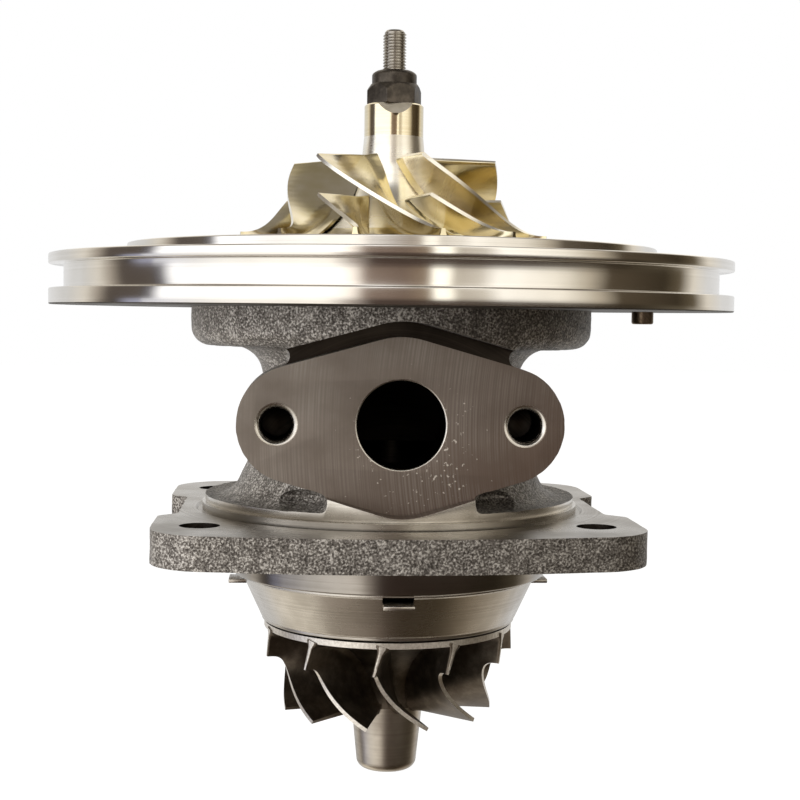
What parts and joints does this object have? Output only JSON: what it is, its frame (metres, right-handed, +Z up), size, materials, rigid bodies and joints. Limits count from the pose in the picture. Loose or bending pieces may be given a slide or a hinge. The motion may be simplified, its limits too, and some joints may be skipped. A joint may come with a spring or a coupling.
{
  "type": "turbocharger cartridge",
  "caption": "Turbocharger cartridge: cast bearing housing with floating bearings, a free-spinning shaft with compressor and turbine wheels, a compressor backplate and a heat shield.",
  "frame": {"origin": "on the rotor axis, in the seat face under the turbine flange", "axes": "+Z up the rotor axis to the compressor end, -Y the oil drain side, +X to the right seen from the drain side"},
  "size_m": [0.113, 0.113, 0.1247],
  "materials": {
    "cast_iron": "sand cast, with turned and milled faces",
    "turned_plate": "fine turned",
    "wheel_alloy": "milled, bright",
    "turbine_alloy": "cast, dark",
    "steel": "ground",
    "sheet_steel": "pressed, satin",
    "black_steel": "black oxide",
    "bronze": "bored and turned",
    "seal_rubber": "moulded"
  },
  "bodies": {
    "housing": {"bearing_housing": "cast_iron", "compressor_backplate": "turned_plate", "backplate_seal_ring": "seal_rubber", "backplate_screws": "black_steel", "locating_pin": "black_steel", "thrust_bearing": "bronze", "thrust_bearing_pins": "steel", "oil_deflector": "sheet_steel", "compressor_piston_ring": "cast_iron", "turbine_piston_ring": "cast_iron", "heat_shield": "sheet_steel", "retaining_ring_1": "steel", "retaining_ring_2": "steel", "retaining_ring_3": "steel", "retaining_ring_4": "steel"},
    "rotor": {"rotor_shaft": "steel", "turbine_wheel": "turbine_alloy", "thrust_washer": "steel", "thrust_collar": "steel", "flinger_sleeve": "steel", "compressor_wheel": "wheel_alloy", "shaft_nut": "black_steel"},
    "turbine_bearing": {"journal_bearing_turbine": "bronze"},
    "compressor_bearing": {"journal_bearing_compressor": "bronze"}
  },
  "joints": [
    {"name": "rotor_spin", "type": "hinge", "parent": "housing", "child": "rotor", "pos_m": [0, 0, 0], "axis": [0, 0, 1], "continuous": true},
    {"name": "turbine_bearing_spin", "type": "hinge", "parent": "housing", "child": "turbine_bearing", "pos_m": [0, 0, 0], "axis": [0, 0, 1], "continuous": true},
    {"name": "compressor_bearing_spin", "type": "hinge", "parent": "housing", "child": "compressor_bearing", "pos_m": [0, 0, 0], "axis": [0, 0, 1], "continuous": true}
  ],
  "couplings": [
    {"joint": "turbine_bearing_spin", "follows": "rotor_spin", "ratio": 0.3},
    {"joint": "compressor_bearing_spin", "follows": "rotor_spin", "ratio": 0.3}
  ]
}
